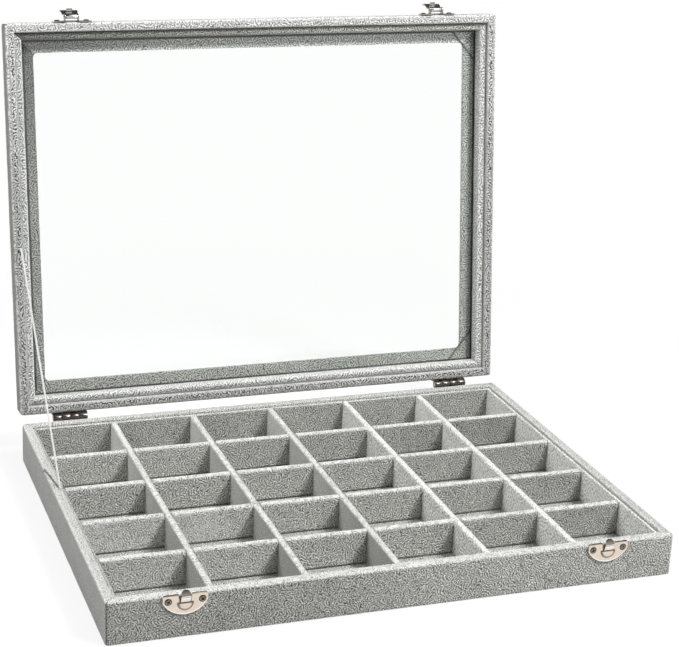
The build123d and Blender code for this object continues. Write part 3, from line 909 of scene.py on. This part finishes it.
def build_lid():
    turn = open_lid()
    rail = section(WALL, LID_BOTTOM, LID_TOP - FACE,
                   (RIM_RADIUS, 0.0, 0.0, RIM_INNER_RADIUS),
                   (SECTION_STEP, HIDDEN_STEP, SECTION_STEP, RIM_STEP))
    face = section(FACE_WIDTH, LID_TOP - FACE, LID_TOP,
                   (0.0, RIM_RADIUS, FACE_RADIUS, FACE_INNER_RADIUS),
                   (SECTION_STEP, SECTION_STEP, EDGE_STEP, TOP_STEP))
    liner = section(LID_LINER, LID_BOTTOM + LID_LINER_DROP, GLASS_BOTTOM,
                    (LID_LINER_BACK_RADIUS, 0.0, 0.0, LID_LINER_RADIUS),
                    (HIDDEN_STEP, HIDDEN_STEP, PAD_STEP, PAD_EDGE_STEP))
    rail_mark = {"left": shaded_side_rail, "right": shaded_side_rail, "back": hinged_rail}
    liner_mark = {"front": faded_liner, "right": glass_line, "back": hinged_liner}
    for side in SIDES:
        half = (CASE_WIDTH if side in ("front", "back") else CASE_DEPTH) / 2
        low_end = (-half, FOLD_STRETCH - half, FOLD_STEP)
        high_end = (half - FOLD_STRETCH, half, FOLD_STEP)
        fine = {"left": (), "right": (low_end, high_end)}.get(side, (high_end,))
        boards = (
            mitred_board(f"velvet_lid_{side}_rail", side, 0.0, rail, CORNER, seam=0.7,
                         mark=rail_mark.get(side),
                         material=RIM_VELVET if side == "front" else RAIL_VELVET),
            mitred_board(f"velvet_lid_{side}_face", side, 0.0, face, CORNER,
                         window=WINDOW_CORNER, width=FACE_WIDTH, fine=fine,
                         mark=strip_shade(side), paling=0.0,
                         material=FRONT_FACE_VELVET if side == "front" else FACE_VELVET),
            mitred_board(f"velvet_lid_{side}_liner", side, WALL, liner, 0.0,
                         mark=liner_mark.get(side), paling=LINER_PALING[side],
                         material=LINER_VELVET if side == "front" else RIM_VELVET),
        )
        outside_velvet(boards[0])
        outside_velvet(boards[1])
        for board, kind in zip(boards, ("rail", "face", "liner")):
            board.data.transform(turn)
            attach(board, "lid", f"lid_{side}_{kind}")


def outside_velvet(board):
    """The tray's velvet on all of a lid board but the side that faces the tray.

    The lid's left side takes a darker copy with less sheen, as painted shade.
    """
    board.data.materials.append(VELVET)
    board.data.materials.append(SIDE_VELVET)
    for polygon in board.data.polygons:
        at_side = polygon.center.x < (1 - CASE_WIDTH / 2) * MM
        if at_side and polygon.normal.x < LOOKS_LEFT:
            polygon.material_index = 2
        elif polygon.normal.z > LOOKS_DOWN:
            polygon.material_index = 1


# Stay cord

def spline_points(route):
    """Points in millimetres along the smooth line of the route."""
    curve = bpy.data.curves.new("cord_line", "CURVE")
    curve.dimensions = "3D"
    curve.resolution_u = 24
    spline = curve.splines.new("NURBS")
    spline.points.add(len(route) - 1)
    for point, place in zip(spline.points, route):
        point.co = (*[c * MM for c in place], 1)
    spline.order_u = 3
    spline.use_endpoint_u = True
    holder = new_object("cord_line", curve)
    bpy.context.view_layer.update()
    mesh = bpy.data.meshes.new_from_object(holder)
    points = [Vector(v.co) / MM for v in mesh.vertices]
    bpy.data.objects.remove(holder)
    bpy.data.meshes.remove(mesh)
    return points


def even_points(points, step):
    """The same line with points an even step apart."""
    even = [points[0].copy()]
    left = step
    for a, b in zip(points, points[1:]):
        run = (b - a).length
        done = 0.0
        while run - done >= left:
            done += left
            even.append(a.lerp(b, done / run))
            left = step
        left -= run - done
    if (even[-1] - points[-1]).length > 1e-4:
        even.append(points[-1].copy())
    return even


def strand(path, phase, radius, offset):
    """One strand's rings, wound round the path at offset from it."""
    vertices = []
    side = Vector((1, 0, 0))
    travelled = 0.0
    for index, here in enumerate(path):
        before = path[max(index - 1, 0)]
        after = path[min(index + 1, len(path) - 1)]
        if index:
            travelled += (here - before).length
        forward = (after - before).normalized()
        across = forward.cross(side).normalized()
        angle = phase + 2 * math.pi * travelled / CORD_LAY
        middle = here + (side * math.cos(angle) + across * math.sin(angle)) * offset
        for k in range(STRAND_SIDES):
            turn = 2 * math.pi * k / STRAND_SIDES
            vertices.append(tuple(middle + (side * math.cos(turn) + across * math.sin(turn))
                                  * radius))
    return vertices, grid_faces(len(path), STRAND_SIDES)


def build_cord():
    line = spline_points(CORD_ROUTE)
    path = even_points(line, CORD_STEP)
    radius = CORD_DIAMETER / 2
    strand_radius = radius * STRAND_SHARE
    vertices = []
    faces = []
    for index in range(CORD_STRANDS):
        ring, quads = strand(path, 2 * math.pi * index / CORD_STRANDS, strand_radius,
                             radius - strand_radius)
        shift = len(vertices)
        vertices += ring
        faces += [tuple(v + shift for v in quad) for quad in quads]
    cord = make_object("stay_cord_strands", vertices, faces, TWINE)
    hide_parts("stay_cord")
    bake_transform(cord)


# Metal and glass

def finish_hardware():
    """Finishes of the CAD nodes that stay."""
    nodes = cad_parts
    finishes = {"latch_plate": LATCH_NICKEL, "latch_pin": STEEL, "latch_lever": LEVER,
                "hinge_tray_leaf": HINGE_NICKEL, "hinge_lid_leaf": HINGE_NICKEL,
                "hinge_pin": STEEL}
    for side in ("left", "right"):
        for kind, material in finishes.items():
            node = nodes[f"{side}_{kind}"]
            dress(node, material)
            soften(node, METAL_ROUNDING)
    for name in ("hinge_tray_screws", "hinge_lid_screws"):
        dress(nodes[name], STEEL)
        soften(nodes[name], SCREW_ROUNDING)
    dress(nodes["glass_pane"], GLASS)
    dress(nodes["tray_base_board"], CARD)


def dress(node, material):
    """Give every material slot of a CAD node the same finish."""
    for slot in node.material_slots:
        slot.material = material


def soften(piece, width):
    """Softly rounded edges, by modifiers alone."""
    weld = piece.modifiers.new("weld", "WELD")
    weld.merge_threshold = WELD_DISTANCE
    edge = piece.modifiers.new("edges", "BEVEL")
    edge.width = width * MM
    edge.segments = 2
    edge.limit_method = "ANGLE"
    edge.angle_limit = math.radians(SHARP_ANGLE)
    edge.harden_normals = True


def build_catch_plates():
    """The catch plates again, with a painted highlight on the lower edges and painted shade on
    top.
    """
    for side in ("left", "right"):
        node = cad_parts[f"{side}_catch_plate"]
        draft = new_object("draft", node.data.copy())
        soften(draft, CATCH_ROUNDING)
        bpy.context.view_layer.update()
        seen = draft.evaluated_get(bpy.context.evaluated_depsgraph_get())
        mesh = bpy.data.meshes.new_from_object(seen)
        bpy.data.objects.remove(draft)
        mark_rim(mesh, (LATCH_X if side == "right" else -LATCH_X, BOSS_HEIGHT))
        mesh.materials.clear()
        mesh.materials.append(NICKEL)
        plate = new_object(f"{side}_bright_catch_plate", mesh)
        attach(plate, "tray", f"{side}_catch_plate")


def mark_rim(mesh, middle):
    """Mark the band along a plate's edges with a painted highlight where they look down and
    painted shade where they look up.

    Round the boss below the tongue, whose middle is given in x and z, the band takes painted
    shade.
    """
    work = bmesh.new()
    work.from_mesh(mesh)
    bright = work.verts.layers.float.new("edge")
    dark = work.verts.layers.float.new("dark")
    work.normal_update()
    for vertex in work.verts:
        tilts = [f.normal.z for f in vertex.link_faces if abs(f.normal.y) < PLATE_FACE]
        tilt = sum(tilts) / len(tilts) if tilts else 0.0
        off = math.hypot(vertex.co.x / MM - middle[0], vertex.co.z / MM - middle[1])
        if off < BOSS_RADIUS + BOSS_REACH:
            vertex[dark] = fade(abs(off - BOSS_RADIUS), BOSS_SHADE)
            continue
        vertex[bright] = gain(-tilt, RIM_BRIGHT)
        vertex[dark] = gain(tilt, RIM_DARK)
    flat = [f for f in work.faces if f.normal.y < -PLATE_FACE]
    for width in RIM_BAND:
        bmesh.ops.inset_region(work, faces=flat, thickness=width * MM, use_even_offset=False)
    for face in flat:
        for vertex in face.verts:
            vertex[bright] = 0.0
            vertex[dark] = 0.0
    work.to_mesh(mesh)
    work.free()


def screw_head(middle, spin):
    """Points, faces and painted shade of a cross-recessed head on a plate that faces -Y."""
    rings = [SCREW_RADIUS * k / SCREW_CIRCLES for k in range(1, SCREW_CIRCLES + 1)]
    rings += [SCREW_RADIUS + SCREW_GAP, SCREW_RING]
    count = SCREW_SIDES
    vertices = [(middle[0], middle[1] - SCREW_HEIGHT + RECESS_DEPTH, middle[2])]
    darks = [1.0]
    for radius in rings:
        for k in range(count):
            angle = 2 * math.pi * k / count
            x = radius * math.cos(angle)
            z = radius * math.sin(angle)
            across = min(abs(x * math.cos(spin) - z * math.sin(spin)),
                         abs(x * math.sin(spin) + z * math.cos(spin)))
            in_cross = radius < RECESS_REACH and across < RECESS_WIDTH / 2
            height = SCREW_HEIGHT * (1 - SCREW_DOME * (radius / SCREW_RADIUS) ** 3)
            if in_cross:
                height -= RECESS_DEPTH
            if radius > SCREW_RADIUS:
                height = RING_HEIGHT
            vertices.append((middle[0] + x, middle[1] - height, middle[2] + z))
            # Painted shade in the cross recess and round the head's rim
            darks.append(1.0 if in_cross or radius > SCREW_RADIUS * SCREW_SEAM else 0.0)
    faces = [(0, 1 + k, 1 + (k + 1) % count) for k in range(count)]
    for ring in range(len(rings) - 1):
        for k in range(count):
            here = 1 + ring * count
            n = (k + 1) % count
            faces.append((here + k, here + n, here + count + n, here + count + k))
    return vertices, faces, darks


def build_screws():
    """The screws of the catch plates and of the latch plates."""
    turn = open_lid()
    face_y = -CASE_DEPTH / 2 - PLATE_THICKNESS
    sets = (("catch_screws", "tray", TRAY_HEIGHT - PLATE_SCREW_DROP, None),
            ("latch_screws", "lid", LID_BOTTOM + PLATE_SCREW_DROP, turn))
    for name, body, height, swing in sets:
        vertices = []
        faces = []
        darks = []
        for index, x in enumerate((-LATCH_X - PLATE_SCREW_OFFSET, -LATCH_X + PLATE_SCREW_OFFSET,
                                   LATCH_X - PLATE_SCREW_OFFSET, LATCH_X + PLATE_SCREW_OFFSET)):
            spin = SCREW_SPIN[0] + SCREW_SPIN[1] * index
            points, quads, marks = screw_head((x, face_y, height), spin)
            shift = len(vertices)
            vertices += points
            faces += [tuple(v + shift for v in quad) for quad in quads]
            darks += marks
        heads = make_object(f"cross_{name}", vertices, faces, DARK_STEEL, marks={"dark": darks})
        if swing:
            heads.data.transform(swing)
        attach(heads, body, name)


# Stage, light and camera

def build_stage():
    half = FLOOR_HALF
    mesh = bpy.data.meshes.new("floor")
    mesh.from_pydata([(-half, -half, 0), (half, -half, 0), (half, half, 0), (-half, half, 0)],
                     [], [(0, 1, 2, 3)])
    floor = new_object("floor", mesh)
    floor.location.z = -FLOOR_DROP
    material, add = new_material("pale_floor")
    seen = seen_rays(add)
    tone = add("MixRGB", {0: seen, 1: (0.45, 0.45, 0.45, 1), 2: (0.95, 0.95, 0.95, 1)})
    matt = add("BsdfDiffuse", {"Color": tone.outputs[0]})
    white = add("Emission", {"Color": (1, 1, 1, 1), "Strength": 1.0})
    place = add("TexCoord").outputs["Object"]
    reach = add("VectorMath", {0: place}, operation="LENGTH")
    far = add("MapRange", {"Value": reach.outputs["Value"], "From Min": 0.25, "From Max": 0.7,
                           "To Min": 0.85, "To Max": 1.0}, interpolation_type="SMOOTHSTEP")
    share = add("Math", {0: seen, 1: far.outputs["Result"]}, operation="MULTIPLY")
    mix = add("MixShader", {0: share.outputs[0], 1: matt.outputs[0], 2: white.outputs[0]})
    add("OutputMaterial", {"Surface": mix.outputs[0]})
    mesh.materials.append(material)


def build_world():
    """A soft fill light, and white for what the camera, metal and glass see."""
    world = bpy.data.worlds.new("studio")
    bpy.context.scene.world = world
    world.use_nodes = True
    world.node_tree.nodes.clear()
    add = node_adder(world.node_tree)
    fill = add("Background", {"Color": (1, 1, 1, 1), "Strength": FILL_STRENGTH})
    path = add("LightPath")
    place = add("SeparateXYZ", {0: add("TexCoord").outputs["Generated"]})
    ceiling = add("MapRange", {"Value": place.outputs["Z"], "From Min": 0.1, "From Max": 0.35,
                               "To Min": 1.0, "To Max": CEILING})
    shown = add("MixRGB", {0: path.outputs["Is Glossy Ray"], 1: (1, 1, 1, 1),
                           2: ceiling.outputs["Result"]})
    white = add("Background", {"Color": shown.outputs[0], "Strength": 1.0})
    mix = add("MixShader", {0: seen_rays(add), 1: fill.outputs[0], 2: white.outputs[0]})
    add("OutputWorld", {"Surface": mix.outputs[0]})


def seen_rays(add):
    """1 for rays from the camera and those that metal or glass sends on, else 0."""
    path = add("LightPath")
    first = add("Math", {0: path.outputs["Is Camera Ray"], 1: path.outputs["Is Glossy Ray"]},
                operation="MAXIMUM")
    both = add("Math", {0: first.outputs[0], 1: path.outputs["Is Transmission Ray"]},
               operation="MAXIMUM")
    return both.outputs[0]


def build_light():
    for name, power, size, place, aim in LAMPS:
        lamp = bpy.data.lights.new(name, "AREA")
        lamp.energy = power
        lamp.size = size * MM
        light = new_object(name, lamp)
        light.location = [c * MM for c in place]
        towards = Vector(place) - Vector(aim)
        light.rotation_mode = "QUATERNION"
        light.rotation_quaternion = towards.to_track_quat("Z", "Y")


def build_camera():
    azimuth = math.radians(CAMERA_AZIMUTH)
    elevation = math.radians(CAMERA_ELEVATION)
    roll = math.radians(CAMERA_ROLL)
    back = Vector((math.sin(azimuth) * math.cos(elevation),
                   -math.cos(azimuth) * math.cos(elevation), math.sin(elevation)))
    right = (-back).cross(Vector((0, 0, 1))).normalized()
    down = (-back).cross(right)
    rolled_right = right * math.cos(roll) - down * math.sin(roll)
    rolled_down = right * math.sin(roll) + down * math.cos(roll)
    turn = Matrix((rolled_right, -rolled_down, back)).transposed()
    data = bpy.data.cameras.new("camera")
    data.sensor_width = SENSOR_WIDTH
    data.lens = SENSOR_WIDTH * FOCAL_PIXELS / PHOTO_WIDTH
    data.shift_x = (PHOTO_WIDTH / 2 - AXIS_PIXEL_X) / PHOTO_WIDTH
    camera = new_object("camera", data)
    camera.matrix_world = Matrix.Translation([c * MM for c in CAMERA_PLACE]) @ turn.to_4x4()
    bpy.context.scene.camera = camera


build_camera()
build_stage()
build_world()
build_light()
build_cord()
build_tray()
build_dividers()
build_floor()
build_lid()
finish_hardware()
build_catch_plates()
build_screws()
bpy.context.scene.view_settings.view_transform = "Standard"
